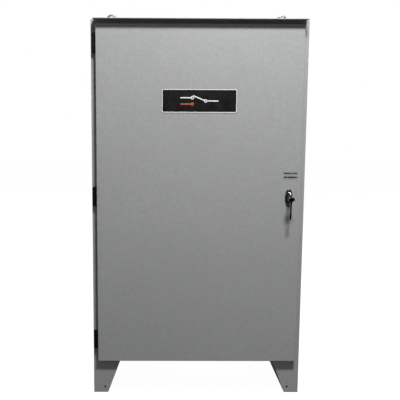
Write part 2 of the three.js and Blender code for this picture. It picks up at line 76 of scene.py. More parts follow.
# ---------------------------------------------------------------- camera, lights, floor
def camera():
    """Standing a little left of the middle, at chest height, looking slightly down at the door."""
    distance, side, height = 2.953, -0.176, 1.225
    yaw, pitch, roll = math.radians(-0.45), math.radians(-8.16), math.radians(-0.24)
    ahead = Vector((-math.sin(yaw), math.cos(yaw), 0)) * math.cos(pitch) + Vector((0, 0, math.sin(pitch)))
    right = Vector((math.cos(yaw), math.sin(yaw), 0))
    up = right.cross(ahead)
    x_axis = right * math.cos(roll) - up * math.sin(roll)
    y_axis = right * math.sin(roll) + up * math.cos(roll)
    data = bpy.data.cameras.new("camera")
    data.sensor_width = 36.0
    data.lens = 62.65
    data.shift_x = 0.093
    data.shift_y = 0.041
    cam = bpy.data.objects.new("camera", data)
    turn = Matrix((x_axis, y_axis, -ahead)).transposed()
    cam.matrix_world = Matrix.Translation((side, DOOR_FACE_Y - distance, height)) @ turn.to_4x4()
    bpy.context.scene.collection.objects.link(cam)
    bpy.context.scene.camera = cam


def area_light(name, at, target, size, power):
    data = bpy.data.lights.new(name, "AREA")
    data.shape = "RECTANGLE"
    data.size, data.size_y = size
    data.energy = power
    light = bpy.data.objects.new(name, data)
    light.location = at
    light.rotation_euler = (Vector(target) - Vector(at)).to_track_quat("-Z", "Y").to_euler()
    bpy.context.scene.collection.objects.link(light)
    return light


def glowing(name, strength, base):
    """Stage finish: a matt surface that also glows, so that it stays pale far from the lights."""
    material = bpy.data.materials.new(name)
    material.use_nodes = True
    shader = material.node_tree.nodes["Principled BSDF"]
    shader.inputs["Base Color"].default_value = (base, base, base, 1)
    shader.inputs["Roughness"].default_value = 0.9
    shader.inputs["Specular IOR Level"].default_value = 0.0
    shader.inputs["Emission Color"].default_value = (1, 1, 1, 1)
    shader.inputs["Emission Strength"].default_value = strength
    return material


def stage():
    """A floor disc and a dome round it, both nearly white."""
    floor_bm = bmesh.new()
    bmesh.ops.create_circle(floor_bm, cap_ends=True, radius=16.0, segments=96)
    dome_bm = bmesh.new()
    bmesh.ops.create_uvsphere(dome_bm, u_segments=32, v_segments=16, radius=18.0)
    finishes = {
        "floor": glowing("floor_white", 0.97, 0.22),
        "backdrop": glowing("backdrop_white", 1.0, 0.0),
    }
    for name, bm in (("floor", floor_bm), ("backdrop", dome_bm)):
        mesh = bpy.data.meshes.new(name)
        bm.to_mesh(mesh)
        bm.free()
        mesh.materials.append(finishes[name])
        thing = bpy.data.objects.new(name, mesh)
        thing.visible_diffuse = False
        thing.visible_glossy = False
        thing.visible_transmission = False
        thing.visible_shadow = False
        bpy.context.scene.collection.objects.link(thing)


def lights():
    """Soft key above the door, weak fills, two lights behind; a mirror sees a dimmer room than paint does."""
    area_light("key", (0.40, DOOR_FACE_Y - 1.75, 3.3), (0.1, 0.0, 1.0), (0.55, 0.4), 98)
    area_light("left_fill", (-2.6, -2.4, 1.9), (0, 0, 0.9), (1.6, 1.6), 5)
    area_light("right_back", (3.2, 2.4, 2.4), (0, 0, 0.9), (1.8, 1.8), 60)
    area_light("left_back", (-3.0, 2.8, 2.0), (0, 0, 0.9), (1.8, 1.8), 50)
    area_light("overhead", (0, 0.9, 4.2), (0, 0.1, 0.9), (1.6, 1.2), 6)
    low_fill = area_light("low_fill", (0.7, -2.4, 0.45), (0.1, 0, 0.15), (1.2, 0.8), 2.5)
    low_fill.visible_glossy = False  # it lifts the feet without a spot on the lock and plate
    world = bpy.data.worlds.new("studio")
    world.use_nodes = True
    nodes, links = world.node_tree.nodes, world.node_tree.links
    path = nodes.new("ShaderNodeLightPath")
    dim = nodes.new("ShaderNodeMapRange")
    dim.inputs["To Min"].default_value = 0.105
    dim.inputs["To Max"].default_value = 0.012
    links.new(path.outputs["Is Glossy Ray"], dim.inputs["Value"])
    links.new(dim.outputs["Result"], nodes["Background"].inputs["Strength"])
    nodes["Background"].inputs["Color"].default_value = (0.96, 0.98, 1.0, 1)
    bpy.context.scene.world = world
    bpy.context.scene.view_settings.view_transform = "Standard"
    bpy.context.scene.view_settings.look = "None"


camera()
stage()
lights()


# ---------------------------------------------------------------- material helpers
class Finish:
    """One material and short calls for the nodes that it is made of. Patterns follow the piece itself."""

    def __init__(self, name, color, roughness, metallic=0.0, coat=0.0):
        self.material = bpy.data.materials.new(name)
        self.material.use_nodes = True
        self.nodes = self.material.node_tree.nodes
        self.links = self.material.node_tree.links
        self.shader = self.nodes["Principled BSDF"]
        self.shader.inputs["Base Color"].default_value = (*color, 1)
        self.shader.inputs["Roughness"].default_value = roughness
        self.shader.inputs["Metallic"].default_value = metallic
        self.shader.inputs["Coat Weight"].default_value = coat
        self.place = self.nodes.new("ShaderNodeTexCoord").outputs["Object"]
        self.normal = None

    def stretched(self, scale):
        node = self.nodes.new("ShaderNodeMapping")
        node.inputs["Scale"].default_value = scale
        self.links.new(self.place, node.inputs["Vector"])
        return node.outputs["Vector"]

    def noise(self, scale, detail=3.0, rough=0.5, vector=None):
        node = self.nodes.new("ShaderNodeTexNoise")
        node.inputs["Scale"].default_value = scale
        node.inputs["Detail"].default_value = detail
        node.inputs["Roughness"].default_value = rough
        self.links.new(vector or self.place, node.inputs["Vector"])
        return node.outputs["Fac"]

    def ramp(self, value, low, high, out_low=0.0, out_high=1.0):
        node = self.nodes.new("ShaderNodeMapRange")
        for key, number in (("From Min", low), ("From Max", high), ("To Min", out_low), ("To Max", out_high)):
            node.inputs[key].default_value = number
        self.links.new(value, node.inputs["Value"])
        return node.outputs["Result"]

    def mix(self, factor, first, second):
        """Colours or sockets, mixed by a socket."""
        node = self.nodes.new("ShaderNodeMix")
        node.data_type = "RGBA"
        self.links.new(factor, node.inputs[0])
        for socket, value in ((node.inputs[6], first), (node.inputs[7], second)):
            if isinstance(value, bpy.types.NodeSocket):
                self.links.new(value, socket)
            else:
                socket.default_value = (*value, 1)
        return node.outputs[2]

    def math(self, operation, first, second):
        node = self.nodes.new("ShaderNodeMath")
        node.operation = operation
        for socket, value in zip(node.inputs, (first, second)):
            if isinstance(value, bpy.types.NodeSocket):
                self.links.new(value, socket)
            else:
                socket.default_value = value
        return node.outputs["Value"]

    def edge(self, radius):
        """High along outside edges, where a finish rubs through."""
        bevel = self.nodes.new("ShaderNodeBevel")
        bevel.samples = 4
        bevel.inputs["Radius"].default_value = radius
        geometry = self.nodes.new("ShaderNodeNewGeometry")
        dot = self.nodes.new("ShaderNodeVectorMath")
        dot.operation = "DOT_PRODUCT"
        self.links.new(bevel.outputs["Normal"], dot.inputs[0])
        self.links.new(geometry.outputs["Normal"], dot.inputs[1])
        return self.ramp(dot.outputs["Value"], 0.99, 0.85)

    def bump(self, height, strength, distance):
        node = self.nodes.new("ShaderNodeBump")
        node.inputs["Strength"].default_value = strength
        node.inputs["Distance"].default_value = distance
        self.links.new(height, node.inputs["Height"])
        if self.normal is not None:
            self.links.new(self.normal, node.inputs["Normal"])
        self.normal = node.outputs["Normal"]
        self.links.new(self.normal, self.shader.inputs["Normal"])

    def color(self, socket):
        self.links.new(socket, self.shader.inputs["Base Color"])

    def rough(self, value, low, high):
        self.links.new(self.ramp(value, 0.3, 0.7, low, high), self.shader.inputs["Roughness"])


def shade(color, factor):
    return tuple(min(1.0, c * factor) for c in color)


def powder_coat(name, color, wear=0.5, dust=0.0, gloss=0.5):
    """Sprayed and baked paint: fine orange peel, faint clouding, rubbed edges, dust near the floor."""
    finish = Finish(name, color, 0.5)
    finish.shader.inputs["Specular IOR Level"].default_value = gloss
    cloud = finish.noise(2.3, 4, 0.6)
    tone = finish.mix(finish.ramp(cloud, 0.3, 0.7), shade(color, 0.955), shade(color, 1.045))
    patches = finish.ramp(finish.noise(64, 5, 0.7), 0.34, 0.66)
    tone = finish.mix(finish.math("MULTIPLY", patches, 0.8), tone, shade(color, 0.84))
    grain = finish.ramp(finish.noise(210, 4, 0.7), 0.36, 0.64)
    tone = finish.mix(finish.math("MULTIPLY", grain, 0.24), tone, shade(color, 1.45))
    speckle = finish.ramp(finish.noise(620, 2, 0.6), 0.36, 0.64)
    tone = finish.mix(finish.math("MULTIPLY", speckle, 0.14), tone, shade(color, 1.4))
    if wear:
        rubbed = finish.math("MULTIPLY", finish.edge(0.0016), finish.ramp(finish.noise(34, 5), 0.44, 0.66))
        tone = finish.mix(finish.math("MULTIPLY", rubbed, wear), tone, shade(color, 1.8))
    if dust:
        height = finish.nodes.new("ShaderNodeSeparateXYZ")
        finish.links.new(finish.place, height.inputs["Vector"])
        low = finish.ramp(height.outputs["Z"], 0.22, 0.0)
        film = finish.math("MULTIPLY", low, finish.ramp(finish.noise(9, 6, 0.65), 0.3, 0.75))
        tone = finish.mix(finish.math("MULTIPLY", film, dust), tone, (0.40, 0.37, 0.33))
    finish.color(tone)
    finish.rough(finish.noise(18, 4), 0.46, 0.60)
    finish.bump(finish.noise(330, 2, 0.5), 0.16, 0.0006)
    finish.bump(finish.noise(1500, 2, 0.5), 0.12, 0.0003)
    return finish.material


def plated(name, color, roughness, grain=(60, 60, 900)):
    """Plated steel: rolling grain, cloudy plating, brighter rubbed edges."""
    finish = Finish(name, color, roughness, metallic=1.0)
    cloud = finish.noise(38, 5, 0.6)
    tone = finish.mix(finish.ramp(cloud, 0.3, 0.7), shade(color, 0.82), shade(color, 1.08))
    tone = finish.mix(finish.math("MULTIPLY", finish.edge(0.0008), 0.5), tone, shade(color, 1.3))
    finish.color(tone)
    finish.rough(cloud, roughness - 0.07, roughness + 0.1)
    finish.bump(finish.noise(1.0, 3, 0.5, finish.stretched(grain)), 0.12, 0.0002)
    return finish.material


def polished(name, color):
    """Chrome: nearly a mirror, with faint handling smears."""
    finish = Finish(name, color, 0.08, metallic=1.0)
    smear = finish.noise(1.0, 4, 0.6, finish.stretched((90, 90, 40)))
    finish.color(finish.mix(finish.ramp(smear, 0.35, 0.7), color, shade(color, 0.9)))
    finish.rough(smear, 0.05, 0.16)
    finish.bump(finish.noise(160, 2), 0.03, 0.0003)
    return finish.material


def copper(name, color):
    """Bare copper bar: drawn grain, brown bloom away from the handled edges."""
    finish = Finish(name, color, 0.34, metallic=1.0)
    bloom = finish.ramp(finish.noise(26, 6, 0.62), 0.38, 0.68)
    tone = finish.mix(bloom, color, (0.34, 0.15, 0.085))
    tone = finish.mix(finish.math("MULTIPLY", finish.edge(0.0008), 0.6), tone, (0.95, 0.56, 0.36))
    finish.color(tone)
    finish.rough(bloom, 0.26, 0.46)
    finish.bump(finish.noise(1.0, 3, 0.5, finish.stretched((900, 900, 30))), 0.14, 0.0002)
    return finish.material


def moulded(name, color, roughness, texture=700):
    """Moulded plastic or rubber: fine grain, soft clouding, paler rubbed edges."""
    finish = Finish(name, color, roughness)
    cloud = finish.noise(30, 4)
    tone = finish.mix(finish.ramp(cloud, 0.3, 0.7), shade(color, 0.86), shade(color, 1.12))
    tone = finish.mix(finish.math("MULTIPLY", finish.edge(0.0008), 0.35), tone, shade(color, 1.9))
    finish.color(tone)
    finish.rough(cloud, roughness - 0.05, roughness + 0.08)
    finish.bump(finish.noise(texture, 3, 0.6), 0.2, 0.0003)
    return finish.material


def printed(name, color, roughness):
    """Screen-printed ink: flat, with a trace of uneven cover."""
    finish = Finish(name, color, roughness)
    cover = finish.ramp(finish.noise(420, 3), 0.3, 0.7)
    finish.color(finish.mix(cover, shade(color, 0.93), color))
    finish.bump(finish.noise(1200, 2), 0.08, 0.0001)
    return finish.material


def taped(name, color):
    """Varnished cloth tape wound round a coil, with painted shade in the grooves between turns and painted
    highlight on their crests.
    """
    finish = Finish(name, color, 0.42, coat=0.3)
    wave = finish.nodes.new("ShaderNodeTexWave")
    wave.bands_direction = "Z"
    wave.inputs["Scale"].default_value = 26
    wave.inputs["Distortion"].default_value = 0.6
    finish.links.new(finish.place, wave.inputs["Vector"])
    # the band colour follows the bump height: painted shade in the grooves, painted highlight on the crests
    finish.color(finish.mix(wave.outputs["Fac"], shade(color, 0.7), shade(color, 1.15)))
    finish.bump(wave.outputs["Fac"], 0.5, 0.0006)
    finish.bump(finish.noise(1.0, 2, 0.5, finish.stretched((1800, 1800, 900))), 0.3, 0.0003)
    return finish.material


PAINT = powder_coat("grey_powder_coat", (0.350, 0.357, 0.352), wear=0.35, dust=0.25)
WHITE = powder_coat("white_enamel", (0.70, 0.71, 0.68), wear=0.3)
BLACK_PAINT = powder_coat("black_enamel", (0.005, 0.005, 0.006), wear=0.10, gloss=0.2)
ZINC = plated("zinc_plate", (0.60, 0.61, 0.60), 0.36)
EYE_STEEL = plated("forged_zinc", (0.52, 0.52, 0.50), 0.42, grain=(240, 240, 240))
CHROME = polished("chrome", (0.80, 0.81, 0.82))
# Chrome for the handle casting, its colour darkened: painted shade standing for the dark room that the mirror
# finish reflects.
CHROME_WITH_PAINTED_SHADE = polished("chrome_with_painted_shade", (0.17, 0.17, 0.175))
COPPER = copper("copper_bar", (0.78, 0.38, 0.22))
BLACK_PLATE = moulded("plate_black", (0.003, 0.003, 0.0035), 0.40, texture=1100)
BLACK_MOULDING = moulded("black_moulding", (0.022, 0.022, 0.025), 0.46)
RUBBER = moulded("rubber", (0.020, 0.020, 0.021), 0.72, texture=900)
RED_MOULDING = moulded("red_moulding", (0.27, 0.045, 0.028), 0.5, texture=260)
BARRIER = moulded("barrier_sheet", (0.52, 0.50, 0.44), 0.55, texture=320)
LABEL = moulded("label_film", (0.33, 0.34, 0.335), 0.5, texture=800)
LUG = plated("tinned_lug", (0.74, 0.75, 0.76), 0.28, grain=(500, 500, 90))
WHITE_INK = printed("white_ink", (0.86, 0.86, 0.84), 0.42)
# Dark ink for the label's printed dashes, and also the keyway's painted shade on the lock face.
INK_AND_KEYWAY_SHADE = printed("dark_ink_and_keyway_shade", (0.008, 0.008, 0.009), 0.5)
RED_INK = printed("red_ink", (0.58, 0.12, 0.05), 0.42)
TAPE = taped("coil_tape", (0.46, 0.27, 0.06))
BODY_OF = {n: body for body, nodes in frame["record"]["behaviour"]["bodies"].items() for n in nodes}


# ---------------------------------------------------------------- mesh helpers
def piece(name, bm, material, body, replaces=(), smooth=35, weighted=True):
    """Makes the object, shades it, and hangs it on its body."""
    bmesh.ops.recalc_face_normals(bm, faces=bm.faces)
    mesh = bpy.data.meshes.new(name)
    bm.to_mesh(mesh)
    bm.free()
    mesh.materials.append(material)
    mesh.polygons.foreach_set("use_smooth", [True] * len(mesh.polygons))
    mesh.set_sharp_from_angle(angle=math.radians(smooth))
    thing = bpy.data.objects.new(name, mesh)
    bpy.context.scene.collection.objects.link(thing)
    if weighted:
        normals = thing.modifiers.new("even_normals", "WEIGHTED_NORMAL")
        normals.keep_sharp = True
        normals.weight = 100
    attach(thing, body)
    if replaces:
        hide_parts(*replaces)
    return thing


def hard_edges(bm, angle=30):
    return [e for e in bm.edges if len(e.link_faces) == 2 and e.calc_face_angle(0) > math.radians(angle)]


def on_outside(edge, low, high, reach=1e-5):
    """The edge runs along an outer edge of the box, where a sheet is bent and not cut."""
    sides = 0
    for axis in range(3):
        for bound in (low[axis], high[axis]):
            if all(abs(v.co[axis] - bound) < reach for v in edge.verts):
                sides += 1
    return sides >= 2


def formed(node, material, edge=0.5, bend=0.0):
    """The CAD node's own shape with bent corners rounded to bend and cut edges eased, both in mm."""
    bm = bmesh.new()
    bm.from_mesh(frame["nodes"][node].data)
    bmesh.ops.remove_doubles(bm, verts=bm.verts, dist=1e-5)
    bmesh.ops.dissolve_limit(bm, angle_limit=math.radians(0.5), verts=bm.verts, edges=bm.edges)
    if bend:
        low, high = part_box(node)
        bends = [e for e in hard_edges(bm) if on_outside(e, low, high)]
        bmesh.ops.bevel(bm, geom=bends, offset=bend * MM, segments=4, profile=0.5, affect="EDGES")
    bmesh.ops.bevel(bm, geom=hard_edges(bm, 40), offset=edge * MM, segments=2, profile=0.5,
                    affect="EDGES", clamp_overlap=True)
    piece(f"{node}_skin", bm, material, BODY_OF[node], [node])


def turned(bm, profile, centre, axis="y", segments=32, closed=False):
    """Adds a turned shape: profile is (radius, distance along the axis) in mm from centre in metres."""
    along = {"x": Vector((1, 0, 0)), "y": Vector((0, 1, 0)), "z": Vector((0, 0, 1))}[axis]
    across = {"x": Vector((0, 1, 0)), "y": Vector((0, 0, 1)), "z": Vector((1, 0, 0))}[axis]
    other = along.cross(across)
    rings = []
    for radius, distance in profile:
        middle = Vector(centre) + along * distance * MM
        if radius == 0:
            rings.append([bm.verts.new(middle)])
            continue
        ring = []
        for i in range(segments):
            angle = 2 * math.pi * i / segments
            out = across * math.cos(angle) + other * math.sin(angle)
            ring.append(bm.verts.new(middle + out * radius * MM))
        rings.append(ring)
    pairs = list(zip(rings, rings[1:]))
    if closed:
        pairs.append((rings[-1], rings[0]))
    for first, second in pairs:
        for i in range(segments):
            j = (i + 1) % segments
            if len(first) == 1:
                bm.faces.new((first[0], second[j], second[i]))
            elif len(second) == 1:
                bm.faces.new((first[i], first[j], second[0]))
            else:
                bm.faces.new((first[i], first[j], second[j], second[i]))


def slab(bm, outline, low, high, axis="y", ease=0.0):
    """Adds an extruded outline, in metres; ease rounds its front and back rims, in mm."""
    order = {"x": (2, 0, 1), "y": (0, 2, 1), "z": (0, 1, 2)}[axis]

    def point(u, v, w):
        raw = (u, v, w)
        return Vector((raw[order[0]], raw[order[1]], raw[order[2]]))

    front = [bm.verts.new(point(u, v, low)) for u, v in outline]
    back = [bm.verts.new(point(u, v, high)) for u, v in outline]
    ends = [bm.faces.new(front), bm.faces.new(list(reversed(back)))]
    count = len(outline)
    for i in range(count):
        j = (i + 1) % count
        bm.faces.new((front[i], back[i], back[j], front[j]))
    if ease:
        rims = {e for f in ends for e in f.edges}
        bmesh.ops.bevel(bm, geom=list(rims), offset=ease * MM, segments=2, profile=0.5, affect="EDGES")


def rounded(left, right, low, high, radius, steps=5):
    """Rectangle with round corners, in metres."""
    points = []
    corners = [(right - radius, high - radius), (left + radius, high - radius),
               (left + radius, low + radius), (right - radius, low + radius)]
    for k, (u, v) in enumerate(corners):
        for i in range(steps + 1):
            angle = math.pi / 2 * (k + i / steps)
            points.append((u + radius * math.cos(angle), v + radius * math.sin(angle)))
    return points


def brick(bm, low, high, ease):
    """Adds a block with eased edges; corners in metres, ease in mm."""
    made = bmesh.ops.create_cube(bm, size=1.0)["verts"]
    low, high = Vector(low), Vector(high)
    for v in made:
        v.co = Vector(((low[i] + high[i]) / 2 + v.co[i] * (high[i] - low[i]) for i in range(3)))
    edges = list({e for v in made for e in v.link_edges})
    bmesh.ops.bevel(bm, geom=edges, offset=ease * MM, segments=2, profile=0.5, affect="EDGES")


def hex_bolt(bm, at, size, axis="y", out=-1):
    """Adds a washer and a hexagon head that stands out of a face; size is the thread in mm."""
    low, high = 0.16 * size, 0.80 * size
    washer = [(size * 0.55, 0), (size * 1.08, 0), (size * 1.12, 0.4), (size * 1.08, low), (size * 0.55, low)]
    turned(bm, [(r, out * d) for r, d in washer], at, axis, 24, closed=True)
    head = [(0, low), (size * 0.86, low), (size * 0.92, low + 0.5), (size * 0.92, high - 0.9),
            (size * 0.80, high), (0, high)]
    turned(bm, [(r, out * d) for r, d in head], at, axis, 6)


def pan_screw(bm, at, size):
    """Adds a domed screw head facing the door, with a shallow dish in place of its cross."""
    head = [(0, -0.3), (size * 0.95, -0.3), (size * 0.98, 0.15 * size), (size * 0.80, 0.42 * size),
            (size * 0.42, 0.55 * size), (size * 0.28, 0.30 * size), (0, 0.26 * size)]
    turned(bm, [(r, -d) for r, d in head], at, "y", 20)


def fused(name, bm, material, body, replaces, voxel):
    """Joins overlapping forms into one forged or cast skin; voxel is in mm."""
    thing = piece(name, bm, material, body, replaces, smooth=80, weighted=False)
    remesh = thing.modifiers.new("fuse", "REMESH")
    remesh.mode = "VOXEL"
    remesh.voxel_size = voxel * MM
    remesh.use_smooth_shade = True
    ease = thing.modifiers.new("ease", "SMOOTH")
    ease.factor = 0.5
    ease.iterations = 5


# ---------------------------------------------------------------- case
SHEET = 2.7 * MM
FLANGE_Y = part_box("enclosure_front")[1].y - SHEET
COLLAR_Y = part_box("enclosure_front")[0].y
OPENING_HALF = 0.418
OPENING_BOTTOM = 0.173
OPENING_TOP = 1.589
NEAR = 1e-6


def case_sheet():
    """The case as one bent sheet: rounded folds, and a collar turned forward round the door's opening."""
    low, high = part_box("enclosure_wrapper")
    low = Vector((low.x, FLANGE_Y, low.z))
    side, bottom, top = OPENING_HALF + SHEET, OPENING_BOTTOM - SHEET, OPENING_TOP + SHEET
    bm = bmesh.new()
    box = [bm.verts.new((x, y, z)) for y in (low.y, high.y) for x, z in
           ((low.x, low.z), (high.x, low.z), (high.x, high.z), (low.x, high.z))]
    opening = ((-side, bottom), (side, bottom), (side, top), (-side, top))
    rim = [bm.verts.new((x, low.y, z)) for x, z in opening]
    lip = [bm.verts.new((v.co.x, COLLAR_Y, v.co.z)) for v in rim]
    folds = []
    for i in range(4):
        j = (i + 1) % 4
        bm.faces.new((box[i], box[j], rim[j], rim[i]))
        bm.faces.new((rim[i], rim[j], lip[j], lip[i]))
        bm.faces.new((box[j], box[i], box[i + 4], box[j + 4]))
        folds += [bm.edges.get((box[i], box[j])), bm.edges.get((box[i], box[i + 4]))]
    back = bm.faces.new((box[7], box[6], box[5], box[4]))
    folds += list(back.edges)
    bmesh.ops.bevel(bm, geom=folds, offset=2.6 * MM, segments=4, profile=0.5, affect="EDGES")

    def on_opening(v):
        level = bottom - NEAR < v.co.z < top + NEAR
        return abs(v.co.y - low.y) < NEAR and abs(v.co.x) < side + NEAR and level

    inner = [e for e in bm.edges if all(on_opening(v) for v in e.verts)]
    bmesh.ops.bevel(bm, geom=inner, offset=1.2 * MM, segments=3, profile=0.5, affect="EDGES")
    shell = ["enclosure_wrapper", "enclosure_front", "enclosure_back"]
    thing = piece("case_sheet", bm, PAINT, "cabinet", shell)
    thick = thing.modifiers.new("sheet", "SOLIDIFY")
    thick.thickness = SHEET
    thick.offset = -1
    thing.modifiers.move(1, 0)


def case():
    """Case, hood, stands and eyes, with the studs behind the panel and the bolts in the stands."""
    case_sheet()
    formed("drip_hood", PAINT, edge=0.6)
    for side in ("left", "right"):
        formed(f"{side}_floor_stand", PAINT, edge=0.5, bend=1.8)
        lifting_eye(side)
    studs = bmesh.new()
    panel_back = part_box("mounting_panel")[1].y
    for x, z in STUD_PLACES:
        turned(studs, [(0, 0.3), (9, 0.3), (10, 1.3), (10, 28), (0, 28)], (x, panel_back, z), "y", 24)
    piece("panel_studs", studs, ZINC, "cabinet")
    bolts = bmesh.new()
    inset = 0.06
    for side in ("left", "right"):
        low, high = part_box(f"{side}_floor_stand")
        outer = low.x if side == "left" else high.x
        inward = 1 if side == "left" else -1
        for y in (low.y + inset, (low.y + high.y) / 2, high.y - inset):
            hex_bolt(bolts, (outer + inward * inset, y, high.z - SHEET), 10, "z", -1)
    piece("stand_bolts", bolts, ZINC, "cabinet")


def lifting_eye(side):
    """Forged eye: a ring that thickens into its foot, on a round collar."""
    node = f"{side}_lifting_eye"
    low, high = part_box(node)
    x, y = (low.x + high.x) / 2, (low.y + high.y) / 2
    wire, loop = 4.75 * MM, 18.2 * MM
    centre = Vector((x, y, high.z - loop - wire))
    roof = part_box("enclosure_wrapper")[1].z
    bm = bmesh.new()
    rows, around = 56, 20
    grid = []
    for i in range(rows):
        angle = 2 * math.pi * i / rows
        out = Vector((math.sin(angle), 0, math.cos(angle)))
        thick = wire * (1 + 0.12 * max(0, -math.cos(angle)))
        row = []
        for j in range(around):
            turn = 2 * math.pi * j / around
            reach = loop + thick * math.cos(turn) - (thick - wire)
            row.append(bm.verts.new(centre + out * reach + Vector((0, thick * math.sin(turn), 0))))
        grid.append(row)
    for i in range(rows):
        for j in range(around):
            a, b = (i + 1) % rows, (j + 1) % around
            bm.faces.new((grid[i][j], grid[a][j], grid[a][b], grid[i][b]))
    foot = (centre.z - loop - roof) / MM
    collar = [(0, 0.4), (13.2, 0.4), (13.9, 1.2), (13.9, 5.0), (13.0, 6.0), (9.0, 7.0), (7.6, 8.6),
              (7.0, foot), (5.0, foot + 2.5), (0, foot + 3)]
    turned(bm, collar, (x, y, roof), "z", 32)
    shank = [(0, 1.0), (5.9, 1.0), (5.9, -23.4), (5.2, -24), (0, -24)]
    turned(bm, shank, (x, y, roof), "z", 24)
    fused(f"{node}_forging", bm, EYE_STEEL, "cabinet", [node], voxel=0.8)


# ---------------------------------------------------------------- door
def door():
    formed("door_panel", PAINT, edge=0.5, bend=2.4)
    formed("door_gasket", RUBBER, edge=2.6)
    formed("door_stiffener", PAINT, edge=0.6)
    for name in ("upper", "middle", "lower"):
        for part in ("case_leaf", "door_leaf"):
            formed(f"{name}_hinge_{part}", BLACK_PAINT, edge=0.6)


def stroke(bm, points, width, low, high):
    """Adds a drawn line as a thin raised bar through its points, in metres."""
    for (u0, v0), (u1, v1) in zip(points, points[1:]):
        length = math.hypot(u1 - u0, v1 - v0)
        du, dv = (u1 - u0) / length, (v1 - v0) / length
        nu, nv = -dv * width / 2, du * width / 2
        outline = [(u0 + nu, v0 + nv), (u0 - nu, v0 - nv), (u1 - nu, v1 - nv), (u1 + nu, v1 + nv)]
        slab(bm, outline, low, high)


def ring(bm, u, v, outer, inner, y, thick):
    """Adds a flat printed ring, in metres."""
    profile = [(inner / MM, 0), (outer / MM, 0), (outer / MM, thick / MM), (inner / MM, thick / MM)]
    turned(bm, profile, (u, y, v), "y", 32, closed=True)


def nameplate():
    """Black plate with a pale rim line and a plain one-line symbol of a double-throw switch."""
    low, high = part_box("door_nameplate")
    plate = bmesh.new()
    film = 0.12 * MM
    face = low.y + 0.25 * MM
    slab(plate, rounded(low.x, high.x, low.z, high.z, 9 * MM, 8), face, high.y, ease=0.35)
    piece("nameplate_blank", plate, BLACK_PLATE, "door", ["door_nameplate"])
    ink = face - film
    u, v = (low.x + high.x) / 2, (low.z + high.z) / 2
    rim = bmesh.new()
    inset, line = 0.6 * MM, 3.3 * MM
    outer = rounded(low.x + inset, high.x - inset, low.z + inset, high.z - inset, 8.4 * MM, 8)
    inset += line
    inner = rounded(low.x + inset, high.x - inset, low.z + inset, high.z - inset, 5.1 * MM, 8)
    rings = [[rim.verts.new((a, y, b)) for a, b in loop] for y in (ink, face) for loop in (outer, inner)]
    count = len(outer)
    for first, second in ((0, 1), (1, 3), (3, 2), (2, 0)):
        for i in range(count):
            j = (i + 1) % count
            rim.faces.new((rings[first][i], rings[first][j], rings[second][j], rings[second][i]))
    piece("nameplate_rim", rim, WHITE_INK, "door")
    reach, rise, dot, pen = 80 * MM, 13 * MM, 7.0 * MM, 5.0 * MM
    bore = dot - pen * 0.8
    source, common = u - 30 * MM, u + 26 * MM
    white, red = bmesh.new(), bmesh.new()
    for side, symbol in ((1, white), (-1, red)):
        ring(symbol, source, v + side * rise, dot, bore, ink, film)
        stroke(symbol, [(u - reach, v + side * rise), (source - dot, v + side * rise)], pen, ink, face)
    ring(white, common, v, dot, bore, ink, film)
    stroke(white, [(common + dot, v), (u + reach, v)], pen, ink, face)
    tip = Vector((source + 3 * MM - common, rise + 9 * MM))
    start = tip.normalized() * dot
    stroke(white, [(common + start.x, v + start.y), (common + tip.x, v + tip.y)], pen, ink, face)
    piece("nameplate_symbol", white, WHITE_INK, "door")
    piece("nameplate_standby_branch", red, RED_INK, "door")


def latch_label():
    """Small grey label with two rows of plain dashes in place of wording."""
    low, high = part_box("latch_label")
    plate = bmesh.new()
    slab(plate, rounded(low.x, high.x, low.z, high.z, 3 * MM), low.y + 0.1 * MM, high.y, ease=0.1)
    piece("latch_label_film", plate, LABEL, "door", ["latch_label"])
    rows = bmesh.new()
    draw = random.Random(7)
    height = 7.0 * MM
    for share in (0.74, 0.26):
        z = low.z + (high.z - low.z) * share
        x = low.x + 5 * MM
        while x < high.x - 8 * MM:
            width = draw.uniform(4.0, 11.0) * MM
            width = min(width, high.x - 4 * MM - x)
            outline = rounded(x, x + width, z - height / 2, z + height / 2, 0.8 * MM, 3)
            slab(rows, outline, low.y, low.y + 0.1 * MM)
            x += width + draw.uniform(1.8, 3.0) * MM
    piece("latch_label_dashes", rows, INK_AND_KEYWAY_SHADE, "door")


# ---------------------------------------------------------------- handle
def escutcheon():
    """Domed oval plate with a raised ring round the handle's stem and another round the lock."""
    low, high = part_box("handle_escutcheon")
    u, v = (low.x + high.x) / 2, (low.z + high.z) / 2
    wide, tall = (high.x - low.x) / 2, (high.z - low.z) / 2
    base, crown = high.y, low.y
    bm = bmesh.new()
    profile = [(0.995, 0.0), (1.0, 0.12), (1.0, 0.36), (0.975, 0.52), (0.92, 0.66), (0.82, 0.80),
               (0.66, 0.91), (0.45, 0.97), (0.22, 1.0)]
    count = 56
    loops = []
    for scale, rise in profile:
        y = base + (crown - base) * rise
        upright = 1 - (1 - scale) * wide / tall
        loop = []
        for i in range(count):
            turn = 2 * math.pi * i / count
            x, z = u + wide * scale * math.cos(turn), v + tall * upright * math.sin(turn)
            loop.append(bm.verts.new((x, y, z)))
        loops.append(loop)
    for first, second in zip(loops, loops[1:]):
        for i in range(count):
            j = (i + 1) % count
            bm.faces.new((first[i], first[j], second[j], second[i]))
    bm.faces.new(loops[-1])
    bm.faces.new(list(reversed(loops[0])))
    piece("escutcheon_plate", bm, CHROME, "door", ["handle_escutcheon"], smooth=40)
    rings = bmesh.new()
    for centre, bore, wall, proud in ((HANDLE, 12.4, 1.8, 1.6), (LOCK, 6.7, 2.4, 5.6)):
        outer = bore + wall
        lip = [(bore, 2), (outer, 2), (outer, -proud + 0.8), (outer - 0.7, -proud), (bore + 0.4, -proud),
               (bore, -proud + 0.5)]
        turned(rings, lip, (centre.x, crown + 2 * MM, centre.z), "y", 40, closed=True)
    piece("escutcheon_rings", rings, CHROME, "door", smooth=40)


